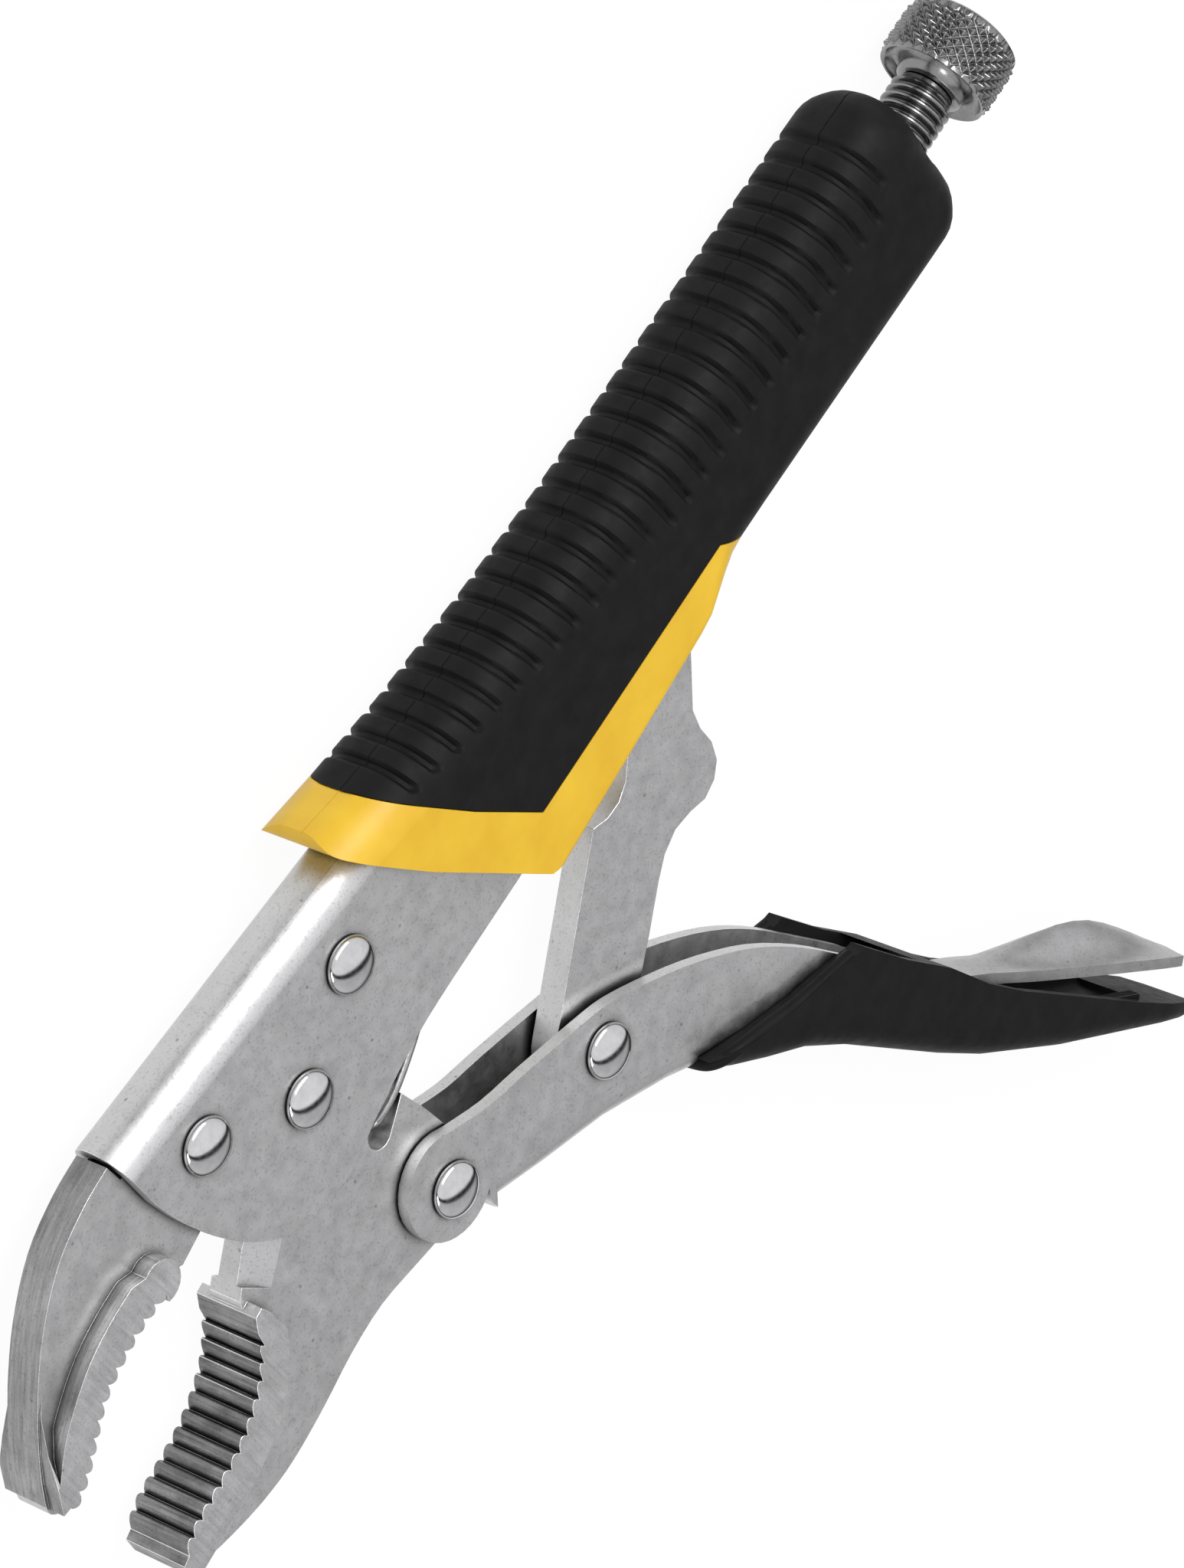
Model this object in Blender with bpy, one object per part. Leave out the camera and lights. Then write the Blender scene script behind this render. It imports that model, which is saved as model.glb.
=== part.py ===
"""Curved-jaw locking pliers, 250 mm size, lying on their side and fully open.

Frame: the plane of the tool is XY and every hinge axis is parallel to Z. The adjusting screw
lies on the X axis with its knob towards +X, the jaws point towards -X, the spine of the fixed
handle is towards +Y and the lever towards -Y. The tool is symmetric about Z = 0 before the
final lift that puts its lowest face on Z = 0. Lengths in the script are in millimetres.
"""
import math

import bmesh
import bpy
from mathutils import Vector

MM = 0.001

# Pivots, as (x, y)
JAW_RIVET_REAR = (-46.9, 4.6)
JAW_RIVET_FRONT = (-79.2, 8.2)
JAW_PIVOT = (-64.2, -3.5)
LEVER_PIVOT = (-57.4, -38.8)
LINK_PIVOT = (-26.5, -50.0)
LINK_TIP = (26.0, -1.0)
RELEASE_PIVOT = (16.6, -103.6)

# Sheet metal
SHEET = 2.0
HEAD_HALF = 5.3          # half width of the channels at the jaws
HANDLE_HALF = 7.4        # half width of the channels under the grips
GAP = 0.3                # clearance between parts that meet
SEAT = 0.12              # clearance under rivet heads and screwed or moulded faces

# Jaws
WEB_HALF = 3.0
TOOTH_HALF = 5.9
TOOTH_DEPTH = 1.2
UPPER_TEETH = 13
LOWER_TEETH = 12
TOOTH_STEPS = 8
CUTTER_HALF = 1.8        # half width of the wire cutter's land

# Rivets
SHANK_R = 3.0
RIVET_R = 4.3
RIVET_DOME = 1.9

# Screw and knob
SCREW_R = 5.0
SCREW_TIP_X = 36.0
SCREW_END_X = 109.4
KNOB_R = 9.0
KNOB_START_X = 109.8
KNOB_END_X = 119.4

# Grips
GRIP_HALF = 9.5
GRIP_CORNER = 8.0
GRIP_REAR_X = 99.6
GRIP_CLOSED_X = 43.0     # behind this station the upper grip is closed all round

# Toggle link, release lever, spring
LINK_HALF = 2.3
RELEASE_HALF = 4.3
RELEASE_SHEET = 1.7
PIN_R = 1.6
WIRE_R = 0.7
COIL_R = 2.2

SHIFT = (5.15, 70.21, GRIP_HALF)   # puts the middle of the lowest face on the world's origin


# ---------------------------------------------------------------- general helpers

def clear_scene():
    for obj in list(bpy.data.objects):
        bpy.data.objects.remove(obj, do_unlink=True)


def material(name, colour, roughness, metallic):
    mat = bpy.data.materials.new(name)
    mat.use_nodes = True
    shader = mat.node_tree.nodes["Principled BSDF"]
    shader.inputs["Base Color"].default_value = (*colour, 1.0)
    shader.inputs["Roughness"].default_value = roughness
    shader.inputs["Metallic"].default_value = metallic
    return mat


def lerp(a, b, t):
    return a + (b - a) * t


def smoothstep(a, b, x):
    t = min(1.0, max(0.0, (x - a) / (b - a)))
    return t * t * (3.0 - 2.0 * t)


def arc(centre, radius, start, end, count):
    """Points on an arc, angles in degrees, ends included."""
    angles = [math.radians(lerp(start, end, i / (count - 1))) for i in range(count)]
    return [(centre[0] + radius * math.cos(a), centre[1] + radius * math.sin(a)) for a in angles]


def curve_through(points, steps):
    """A smooth open curve through hand-placed points of any dimension (Catmull-Rom)."""
    padded = [points[0]] + list(points) + [points[-1]]
    result = []
    for i in range(1, len(padded) - 2):
        p0, p1, p2, p3 = (Vector(p) for p in padded[i - 1:i + 3])
        for k in range(steps):
            t = k / steps
            a = 2.0 * p1 + (p2 - p0) * t
            b = (2.0 * p0 - 5.0 * p1 + 4.0 * p2 - p3) * t ** 2
            c = (3.0 * p1 - p0 - 3.0 * p2 + p3) * t ** 3
            result.append(tuple(0.5 * (a + b + c)))
    result.append(tuple(points[-1]))
    return result


def interpolate(table, x):
    """Linear look-up in a short list of (x, value) pairs."""
    for (x0, v0), (x1, v1) in zip(table, table[1:]):
        if x <= x1:
            return lerp(v0, v1, max(0.0, (x - x0) / (x1 - x0)))
    return table[-1][1]


def new_object(name, bm, mat=None, smooth=True):
    """Make an object from a bmesh in millimetres about Z = 0."""
    bmesh.ops.recalc_face_normals(bm, faces=bm.faces)
    for vert in bm.verts:
        vert.co = vert.co * MM
    mesh = bpy.data.meshes.new(name)
    bm.to_mesh(mesh)
    bm.free()
    if smooth:
        mesh.shade_smooth()
        mesh.set_sharp_from_angle(angle=math.radians(32.0))
    if mat:
        mesh.materials.append(mat)
    obj = bpy.data.objects.new(name, mesh)
    bpy.context.scene.collection.objects.link(obj)
    return obj


def prism(outline, z_low, z_high):
    """A bmesh prism with a closed XY outline."""
    bm = bmesh.new()
    verts = [bm.verts.new((x, y, z_low)) for x, y in outline]
    face = bm.faces.new(verts)
    top = bmesh.ops.extrude_face_region(bm, geom=[face])["geom"]
    raised = [v for v in top if isinstance(v, bmesh.types.BMVert)]
    bmesh.ops.translate(bm, verts=raised, vec=(0.0, 0.0, z_high - z_low))
    return bm


def loft(rings):
    """A closed bmesh through rings of equal length, capped at both ends."""
    bm = bmesh.new()
    rows = [[bm.verts.new(p) for p in ring] for ring in rings]
    count = len(rows[0])
    for low, high in zip(rows, rows[1:]):
        for i in range(count):
            j = (i + 1) % count
            bm.faces.new((low[i], low[j], high[j], high[i]))
    bm.faces.new(list(reversed(rows[0])))
    bm.faces.new(rows[-1])
    return bm


def turned(profile, segments, centre=(0.0, 0.0), axis="Z"):
    """A solid of revolution from (radius, height) pairs; both ends lie on the axis."""
    bm = bmesh.new()
    rings = []
    for radius, height in profile:
        steps = segments if radius > 1e-6 else 1
        ring = []
        for i in range(steps):
            angle = 2.0 * math.pi * i / segments
            a = radius * math.cos(angle)
            b = radius * math.sin(angle)
            place = (centre[0] + a, centre[1] + b, height) if axis == "Z" else (height, a, b)
            ring.append(bm.verts.new(place))
        rings.append(ring)
    for low, high in zip(rings, rings[1:]):
        for i in range(segments):
            j = (i + 1) % segments
            corners = [low[i % len(low)], low[j % len(low)], high[j % len(high)], high[i % len(high)]]
            unique = list(dict.fromkeys(corners))
            if len(unique) > 2:
                bm.faces.new(unique)
    return bm


def boolean(target, tool_bm, operation):
    """Apply a hidden cutting or joining solid to an object."""
    tool = new_object(target.name + "_tool_" + str(len(target.modifiers)), tool_bm)
    tool.hide_render = True
    tool.display_type = "WIRE"
    modifier = target.modifiers.new("shape", "BOOLEAN")
    modifier.operation = operation
    modifier.object = tool
    modifier.solver = "EXACT"
    return tool


def drill(target, centre, radius):
    """A hole right through along Z."""
    hole = turned([(0.0, -30.0), (radius, -30.0), (radius, 30.0), (0.0, 30.0)], 32, centre)
    boolean(target, hole, "DIFFERENCE")


# ---------------------------------------------------------------- fixed handle

SPINE_TOP = [(-96.0, 21.2), (60.0, 7.55), (64.0, 7.4), (120.0, 7.4)]
CHANNEL_BOTTOM = [(-96.0, -22.0), (-20.0, -22.0), (8.0, -15.0), (40.0, -9.0), (120.0, -9.0)]
LEG_STEPS = 8
ARC_STEPS = 12


def channel_half(x):
    return lerp(HEAD_HALF, HANDLE_HALF, smoothstep(-12.0, 20.0, x))


def channel_path(x, inset, bottom_limit=None):
    """The section of the fixed handle as an open path, a U that curls into a tube at the rear.

    inset moves the path inwards from the outer surface (negative is outwards).
    """
    half = channel_half(x) - inset
    centre = interpolate(SPINE_TOP, x) - channel_half(x)
    bottom = interpolate(CHANNEL_BOTTOM, x)
    if bottom_limit is not None:
        bottom = bottom_limit
    curl = smoothstep(34.0, 66.0, x)
    path = []
    for i in range(-ARC_STEPS - LEG_STEPS, ARC_STEPS + LEG_STEPS + 1):
        side = -1.0 if i < 0 else 1.0
        step = abs(i)
        if step <= ARC_STEPS:
            angle = math.radians(90.0 * step / ARC_STEPS)
            flat = (half * math.sin(angle), centre + half * math.cos(angle))
            tube_angle = angle
        else:
            part = (step - ARC_STEPS) / LEG_STEPS
            flat = (half, lerp(centre, bottom, part))
            tube_angle = math.radians(lerp(90.0, 172.0, part))
        tube = (half * math.sin(tube_angle), half * math.cos(tube_angle))
        path.append((side * lerp(flat[0], tube[0], curl), lerp(flat[1], tube[1], curl)))
    return path


def channel_ring(x, outer_inset, inner_inset):
    outer = channel_path(x, outer_inset)
    inner = channel_path(x, inner_inset)
    return [(x, y, z) for z, y in outer + inner[::-1]]


FRAME_FRONT = [(-90.0, 40.0), (-90.0, 10.0), (-88.9, 3.0), (-86.4, -5.0), (-82.8, -11.8),
               (-78.4, -16.2), (-72.6, -18.6), (-66.5, -19.1), (-60.6, -17.6)]
FRAME_OPEN_EDGE = [(-54.0, -16.2), (-45.0, -14.8), (-37.0, -14.5), (9.0, -14.4)]


def frame_side_view():
    front = curve_through(FRAME_FRONT[1:] + FRAME_OPEN_EDGE[:3], 4)
    return [FRAME_FRONT[0]] + front + [FRAME_OPEN_EDGE[-1], (9.0, -40.0), (120.0, -40.0), (120.0, 40.0)]


def build_frame(mat):
    stations = [-94.0, -60.0, -38.0, -14.0] + [lerp(-12.0, 20.0, i / 5) for i in range(6)]
    stations += [27.0, 34.0, 40.0, 46.0, 52.0, 58.0, 62.0, 66.0, 97.0]
    frame = new_object("frame", loft([channel_ring(x, 0.0, SHEET) for x in stations]), mat)
    boolean(frame, prism(frame_side_view(), -20.0, 20.0), "INTERSECT")
    for pivot in (JAW_RIVET_REAR, JAW_RIVET_FRONT, JAW_PIVOT):
        drill(frame, pivot, SHANK_R + GAP)
    return frame


# ---------------------------------------------------------------- jaws

UPPER_BACK = [(-90.5, 19.2), (-97.0, 18.6), (-104.8, 16.4), (-112.8, 11.5), (-119.8, 5.2),
              (-125.2, -1.2), (-128.6, -6.2), (-129.7, -8.8), (-129.0, -10.3)]
UPPER_TOOTH_LINE = [(-97.4, -0.9), (-103.0, -0.5), (-108.5, -1.1), (-113.8, -2.5), (-118.8, -5.4),
                    (-123.2, -8.0), (-127.8, -9.6)]
UPPER_HEAD_BACK = [(-126.6, -4.6), (-122.6, -1.2), (-117.6, 1.6), (-111.8, 3.9), (-106.0, 5.0),
                   (-100.6, 5.3)]
# Where the upper jaw thickens to its tip: (outer x, y, half width, inner x, y, half width)
UPPER_TIP = [(-116.6, 7.0, 2.7, -116.0, 1.0, 2.7), (-121.2, 3.2, 3.3, -121.0, -2.0, 2.9),
             (-124.6, -0.8, 4.6, -123.6, -4.2, 3.6), (-127.2, -4.6, 5.9, -125.2, -6.4, 5.9),
             (-129.3, -8.5, 5.9, -127.4, -8.8, 5.9)]
UPPER_LOBE = (-97.0, 0.9)
UPPER_LOBE_R = 3.4

LOWER_TOOTH_LINE = [(-93.0, -22.6), (-96.8, -26.4), (-101.4, -29.0), (-106.6, -30.7), (-112.4, -31.4),
                    (-117.6, -31.9), (-121.4, -33.4)]
LOWER_HEAD_BACK = [(-121.6, -38.2), (-114.0, -37.6), (-106.0, -36.6), (-98.6, -34.2), (-92.4, -29.8),
                   (-88.9, -25.2)]
LOWER_OUTER = [(-121.6, -39.4), (-118.4, -41.0), (-112.0, -43.0), (-106.0, -44.2), (-100.0, -44.5),
               (-92.0, -43.7), (-84.0, -42.4), (-76.0, -42.1), (-69.0, -43.4)]


def toothed(line, teeth, outward):
    """A row of rounded, slightly leaning ridges along a curve."""
    smooth = curve_through(line, 12)
    lengths = [0.0]
    for a, b in zip(smooth, smooth[1:]):
        lengths.append(lengths[-1] + math.dist(a, b))
    points = []
    for i in range(teeth * TOOTH_STEPS + 1):
        target = lengths[-1] * i / (teeth * TOOTH_STEPS)
        k = min(len(smooth) - 2, max(j for j in range(len(smooth)) if lengths[j] <= target + 1e-9))
        t = (target - lengths[k]) / (lengths[k + 1] - lengths[k])
        x = lerp(smooth[k][0], smooth[k + 1][0], t)
        y = lerp(smooth[k][1], smooth[k + 1][1], t)
        place = (i % TOOTH_STEPS) / TOOTH_STEPS
        crest = math.sin(math.pi * place ** 0.8) ** 0.8
        points.append((x, y + outward * TOOTH_DEPTH * (crest - 0.5)))
    return points


def build_upper_jaw(mat):
    lobe = arc(UPPER_LOBE, UPPER_LOBE_R, 110.0, -110.0, 14)
    head = lobe + toothed(UPPER_TOOTH_LINE, UPPER_TEETH, -1.0)[1:] + curve_through(UPPER_HEAD_BACK, 3)
    jaw = new_object("upper_jaw", prism(head, -TOOTH_HALF, TOOTH_HALF), mat)

    back = curve_through(UPPER_BACK, 4)
    inner = [(-124.0, -7.0), (-118.0, -3.4), (-112.0, -0.6), (-104.0, 0.6), (-97.5, 0.4), (-93.6, -2.8)]
    throat = [(-92.4, -3.6), (-87.3, -2.8), (-78.0, -1.6)]
    hub_relief = arc(JAW_PIVOT, 9.3, 164.0, 28.0, 12)
    tang_end = arc(JAW_RIVET_REAR, 6.6, -118.0, 62.0, 12)
    tang_top = [(-50.0, 12.9), (-88.4, 15.6), (-90.3, 15.8)]
    web = back + inner + throat + hub_relief + tang_end + tang_top
    boolean(jaw, prism(web, -WEB_HALF, WEB_HALF), "UNION")
    tip = []
    for x0, y0, wide, x1, y1, narrow in UPPER_TIP:
        tip.append([(x0, y0, wide), (x0, y0, -wide), (x1, y1, -narrow), (x1, y1, narrow)])
    boolean(jaw, loft(tip), "UNION")
    drill(jaw, JAW_RIVET_REAR, SHANK_R + GAP)
    drill(jaw, JAW_RIVET_FRONT, SHANK_R + GAP)
    return jaw


def cutter_bevel(side):
    """A wedge that thins the lower jaw from its full web to the wire cutter's land."""
    start = Vector((-74.0, -6.6))
    end = Vector((-88.9, -15.8))
    inward = Vector((start.y - end.y, end.x - start.x)).normalized()
    section = [(-4.0, CUTTER_HALF - 0.8), (6.0, WEB_HALF), (6.0, WEB_HALF + 1.0), (-4.0, WEB_HALF + 1.0)]
    rings = []
    for place in (start, end):
        rings.append([(*(place + inward * depth), side * z) for depth, z in section])
    return loft(rings)


def build_lower_jaw(mat):
    collar = [(-89.0, -20.6), (-89.6, -18.4), (-91.2, -18.6), (-92.5, -20.8)]
    head = collar + toothed(LOWER_TOOTH_LINE, LOWER_TEETH, 1.0) + [(-123.0, -34.4), (-123.2, -37.2)]
    head += curve_through(LOWER_HEAD_BACK, 3)
    jaw = new_object("lower_jaw", prism(head, -TOOTH_HALF, TOOTH_HALF), mat)

    hub = arc(JAW_PIVOT, 8.6, -14.0, 196.0, 24)
    neck = [(-77.6, -9.6), (-84.3, -12.8), (-90.4, -17.2), (-92.4, -23.8), (-98.0, -29.0), (-106.0, -32.6),
            (-114.0, -33.4), (-120.0, -35.0)]
    outer = curve_through(LOWER_OUTER, 3)
    tail = arc(LEVER_PIVOT, 7.2, -118.0, -6.0, 12) + [(-51.0, -34.0), (-51.8, -27.0), (-53.4, -18.6)]
    boolean(jaw, prism(hub + neck + outer + tail, -WEB_HALF, WEB_HALF), "UNION")

    for side in (-1.0, 1.0):
        boolean(jaw, cutter_bevel(side), "DIFFERENCE")
    slot_end = (-59.4, -22.2)
    slot = arc(slot_end, 2.2, 119.0, 299.0, 12) + [(-44.0, -16.4), (-46.2, -12.2)]
    boolean(jaw, prism(slot, -20.0, 20.0), "DIFFERENCE")
    drill(jaw, JAW_PIVOT, SHANK_R + GAP)
    drill(jaw, LEVER_PIVOT, SHANK_R + GAP)
    return jaw


# ---------------------------------------------------------------- lever and its grip

# Stations along the lever: (bottom x, bottom y, top x, top y, half width) of the steel channel
LEVER_STATIONS = [
    (-78.0, -60.0, -74.0, -22.0, 5.3),
    (-58.0, -56.0, -52.0, -26.0, 5.3),
    (-53.6, -49.2, -45.0, -28.0, 5.3),
    (-44.5, -54.0, -37.0, -30.0, 5.3),
    (-33.5, -59.4, -22.0, -36.0, 5.3),
    (-22.0, -66.9, -6.0, -44.0, 5.3),
    (-12.0, -74.6, 8.0, -58.0, 5.5),
    (-4.6, -82.0, 12.6, -72.0, 6.1),
    (1.6, -90.2, 15.4, -83.6, 6.9),
    (8.0, -100.4, 19.4, -95.4, 7.4),
    (13.8, -110.6, 22.6, -107.0, 7.4),
    (20.4, -120.4, 26.6, -117.4, 7.4),
    (30.4, -133.6, 33.9, -131.1, 7.4),
    (43.0, -148.4, 46.0, -145.9, 7.4),
]
LEVER_TOP_EDGE = [(-51.6, -31.9), (-45.2, -35.4), (-38.0, -38.0), (-27.1, -42.3), (-20.9, -45.2),
                  (-13.0, -51.0), (-5.8, -57.2), (1.4, -65.0), (7.0, -73.4), (11.6, -82.6),
                  (17.0, -94.0), (21.2, -104.0)]


def lever_ring(station, side_grow, bottom_grow, corner, height=None):
    """A solid lever section: straight sides up to the top, rounded corners at the bottom."""
    bottom = Vector(station[0:2])
    top = Vector(station[2:4])
    rise = (top - bottom).normalized()
    high = (top - bottom).length if height is None else height
    half = station[4] + side_grow
    corner = min(corner, 0.8 * high)
    half_path = [(high, half)]
    for i in range(7):
        angle = math.radians(15.0 * i)
        height = corner - corner * math.sin(angle) - bottom_grow
        half_path.append((height, half - corner + corner * math.cos(angle)))
    path = half_path + [(h, -z) for h, z in reversed(half_path)]
    return [(*(bottom + rise * h), z) for h, z in path]


def station_height(station):
    return math.dist(station[0:2], station[2:4])


def lever_side_view():
    """Outline that trims the lever's ears and its open edge."""
    ear = arc((-57.6, -37.8), 8.3, 62.0, 300.0, 24)
    web_lip = [(-54.6, -47.2), (-54.4, -48.6), (-53.0, -60.0), (60.0, -170.0), (75.0, -150.0),
               (30.0, -104.0)]
    return ear[::-1] + curve_through(LEVER_TOP_EDGE, 3) + web_lip[::-1]


def build_lever(mat):
    outer = [lever_ring(s, 0.0, 0.0, 4.2) for s in LEVER_STATIONS]
    lever = new_object("lever", loft(outer), mat)
    inner = []
    for station in LEVER_STATIONS:
        inner.append(lever_ring(station, -SHEET, -SHEET, 2.2, 60.0))
    inner[0] = [(x - 8.0, y, z) for x, y, z in inner[0]]
    inner[-1] = [(x + 3.0, y - 3.4, z) for x, y, z in inner[-1]]
    boolean(lever, loft(inner), "DIFFERENCE")
    boolean(lever, prism(lever_side_view(), -20.0, 20.0), "INTERSECT")
    drill(lever, LEVER_PIVOT, SHANK_R + GAP)
    drill(lever, LINK_PIVOT, SHANK_R + GAP)
    drill(lever, RELEASE_PIVOT, PIN_R + GAP)
    return lever


# Stations along the lever's grip: (bottom x, y, top x, y, half width) of its outer surface
LEVER_GRIP_STATIONS = [
    (-18.0, -66.4, -2.0, -58.0, 9.5),
    (-14.6, -73.0, 2.0, -64.0, 9.5),
    (-9.6, -78.6, 6.0, -71.0, 9.5),
    (-3.6, -84.8, 12.6, -79.4, 9.5),
    (2.2, -93.2, 17.4, -91.0, 9.5),
    (7.6, -102.8, 22.2, -100.6, 9.5),
    (13.2, -113.0, 25.6, -110.4, 9.5),
    (18.6, -121.8, 29.4, -118.4, 9.5),
    (29.4, -136.2, 36.8, -131.4, 9.5),
    (40.0, -148.6, 44.2, -144.6, 9.5),
    (45.6, -154.6, 48.8, -152.4, 9.0),
    (49.4, -159.8, 52.4, -158.2, 7.2),
    (51.6, -163.4, 54.0, -161.8, 4.8),
]


ROOF_END = 10            # the lever station behind which the grip is open for the release lever


def lever_grip_side_view():
    front = [(-17.4, -67.2), (-8.0, -72.4), (0.0, -76.0), (7.0, -78.4), (12.0, -80.6)]
    lip = curve_through([(-11.0, -78.2), (-13.9, -75.2), (-15.6, -71.7), (-16.6, -67.8)], 3)
    return lip + front[1:] + [(30.0, -84.0), (75.0, -150.0), (55.0, -175.0), (-12.0, -90.0)]


def build_lever_grip(mat):
    grip = new_object("lever_grip", loft([lever_ring(s, 0.0, 0.0, 4.6) for s in LEVER_GRIP_STATIONS]), mat)
    room = [lever_ring(s, SEAT, SEAT, 4.2, station_height(s) + SEAT) for s in LEVER_STATIONS[3:]]
    boolean(grip, loft(room), "DIFFERENCE")
    before, after = LEVER_STATIONS[ROOF_END - 1], LEVER_STATIONS[ROOF_END]
    mouth = [tuple(lerp(a, b, 0.72) for a, b in zip(before, after))] + LEVER_STATIONS[ROOF_END:]
    boolean(grip, loft([lever_ring(s, SEAT, SEAT, 4.2, 60.0) for s in mouth]), "DIFFERENCE")
    boolean(grip, prism(lever_grip_side_view(), -20.0, 20.0), "INTERSECT")
    return grip


# ---------------------------------------------------------------- toggle link and release lever

def link_outline():
    heel = arc(LINK_PIVOT, 7.7, 125.0, 305.0, 20)
    right = [(-9.0, -47.5), (-2.5, -42.8), (0.9, -40.7), (4.6, -39.7), (8.2, -40.3), (11.2, -41.4),
             (14.2, -40.8), (16.5, -38.9), (17.6, -35.8), (17.5, -32.2), (18.3, -28.8), (21.0, -25.2),
             (24.6, -20.4), (28.2, -11.0)]
    tip = arc(LINK_TIP, 3.4, -10.0, 190.0, 12)
    left = [(17.0, -10.2), (9.8, -18.6), (5.6, -23.0), (3.2, -25.2), (0.4, -26.4), (-2.4, -26.3),
            (-5.2, -25.0)]
    return heel + right + tip + left


def build_toggle_link(mat):
    link = new_object("toggle_link", prism(link_outline(), -LINK_HALF, LINK_HALF), mat)
    drill(link, LINK_PIVOT, SHANK_R + GAP)
    return link


# Stations along the release lever: (x, y) of its side edges, its half width and its crown
RELEASE_STRIP = [
    (9.2, -87.4, 2.2, 0.0), (12.4, -91.6, 2.6, 0.0), (16.6, -97.6, 4.3, 0.0), (20.6, -104.0, 4.3, 0.0),
    (25.0, -110.2, 4.3, 0.2), (29.4, -115.8, 4.5, 1.0), (34.8, -123.4, 4.8, 3.2), (40.9, -131.6, 5.0, 5.4),
    (45.6, -137.9, 5.1, 5.7), (50.4, -144.3, 5.1, 4.0), (54.8, -150.2, 5.0, 1.8), (57.6, -154.0, 4.6, 0.5),
]


def build_release_lever(mat):
    smooth = curve_through(RELEASE_STRIP, 2)
    rings = []
    for i, (x, y, half, crown) in enumerate(smooth):
        before = Vector(smooth[max(0, i - 1)][:2])
        after = Vector(smooth[min(len(smooth) - 1, i + 1)][:2])
        run = (after - before).normalized()
        up = Vector((-run.y, run.x))
        top = []
        for k in range(9):
            across = 1.0 - 0.25 * k
            top.append((crown * math.cos(0.5 * math.pi * across) ** 2, across * half))
        section = top + [(rise - RELEASE_SHEET, z) for rise, z in reversed(top)]
        rings.append([(x + up.x * rise, y + up.y * rise, z) for rise, z in section])
    strip = new_object("release_lever", loft(rings), mat)
    lug = arc(RELEASE_PIVOT, 3.6, 150.0, 290.0, 10) + [(22.6, -108.6), (20.3, -104.6), (16.2, -98.4)]
    for side in (-1.0, 1.0):
        low, high = sorted((side * RELEASE_HALF, side * (RELEASE_HALF - RELEASE_SHEET)))
        boolean(strip, prism(lug, low, high), "UNION")
    drill(strip, RELEASE_PIVOT, PIN_R + GAP)
    return strip


# ---------------------------------------------------------------- rivets, pin, screw, knob, spring

def build_rivet(name, centre, mat):
    seat = HEAD_HALF + SEAT
    dome = []
    for i in range(1, 6):
        angle = math.radians(18.0 * i)
        dome.append((RIVET_R * math.cos(angle), seat + 0.3 + (RIVET_DOME - 0.3) * math.sin(angle)))
    dome[-1] = (0.0, seat + RIVET_DOME)
    top = [(SHANK_R, seat), (RIVET_R, seat), (RIVET_R, seat + 0.3)] + dome
    bottom = [(r, -h) for r, h in reversed(top)]
    return new_object(name, turned(bottom + top, 32, centre), mat)


def build_release_pin(mat):
    end = HANDLE_HALF - 0.2
    profile = [(0.0, -end), (PIN_R, -end), (PIN_R, end), (0.0, end)]
    return new_object("release_pin", turned(profile, 24, RELEASE_PIVOT), mat)


def build_screw(mat):
    neck = SCREW_R - 0.9
    profile = [(0.0, SCREW_TIP_X), (3.6, SCREW_TIP_X), (SCREW_R, SCREW_TIP_X + 1.4), (SCREW_R, 106.0),
               (neck, 106.8), (neck, SCREW_END_X), (0.0, SCREW_END_X)]
    return new_object("adjusting_screw", turned(profile, 40, axis="X"), mat)


def build_knob(mat):
    start = KNOB_START_X
    profile = [(0.0, start), (6.2, start), (6.6, start + 1.4), (7.8, start + 0.4), (8.2, start),
               (KNOB_R, start + 0.9), (KNOB_R, KNOB_END_X - 1.4), (KNOB_R - 1.2, KNOB_END_X),
               (0.0, KNOB_END_X)]
    return new_object("knurled_knob", turned(profile, 48, axis="X"), mat)


SPRING_HOOK = [(-58.6, -22.6, -1.4), (-58.2, -22.2, 0.4), (-56.6, -21.6, 1.7), (-52.6, -20.4, 2.2),
               (-46.0, -17.8, 2.2)]
SPRING_START = (-40.0, -14.6)
SPRING_END = (-14.0, -3.6)
SPRING_ANCHOR = [(-11.6, -2.4, 1.8), (-7.4, 0.4, 1.0), (-4.6, 3.6, 0.2), (-3.4, 6.2, 0.0)]
SPRING_TURNS = 15


def spring_route():
    along = Vector((SPRING_END[0] - SPRING_START[0], SPRING_END[1] - SPRING_START[1], 0.0))
    side = Vector((-along.y, along.x, 0.0)).normalized()
    start = Vector((*SPRING_START, 0.0))
    coil = []
    count = SPRING_TURNS * 12
    for i in range(count + 1):
        angle = 2.0 * math.pi * i / 12.0 + 0.5 * math.pi
        place = start + along * (i / count) + side * COIL_R * math.cos(angle)
        coil.append((place.x, place.y, COIL_R * math.sin(angle)))
    front = curve_through(SPRING_HOOK + [coil[0]], 3)[:-1]
    rear = curve_through([coil[-1]] + SPRING_ANCHOR, 3)[1:]
    return front + coil + rear


def build_spring(mat):
    curve = bpy.data.curves.new("return_spring", "CURVE")
    curve.dimensions = "3D"
    curve.bevel_depth = WIRE_R * MM
    curve.bevel_resolution = 1
    curve.use_fill_caps = True
    route = spring_route()
    spline = curve.splines.new("POLY")
    spline.points.add(len(route) - 1)
    for point, place in zip(spline.points, route):
        point.co = (place[0] * MM, place[1] * MM, place[2] * MM, 1.0)
    curve.materials.append(mat)
    spring = bpy.data.objects.new("return_spring", curve)
    bpy.context.scene.collection.objects.link(spring)
    return spring


# ---------------------------------------------------------------- upper grip

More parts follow.
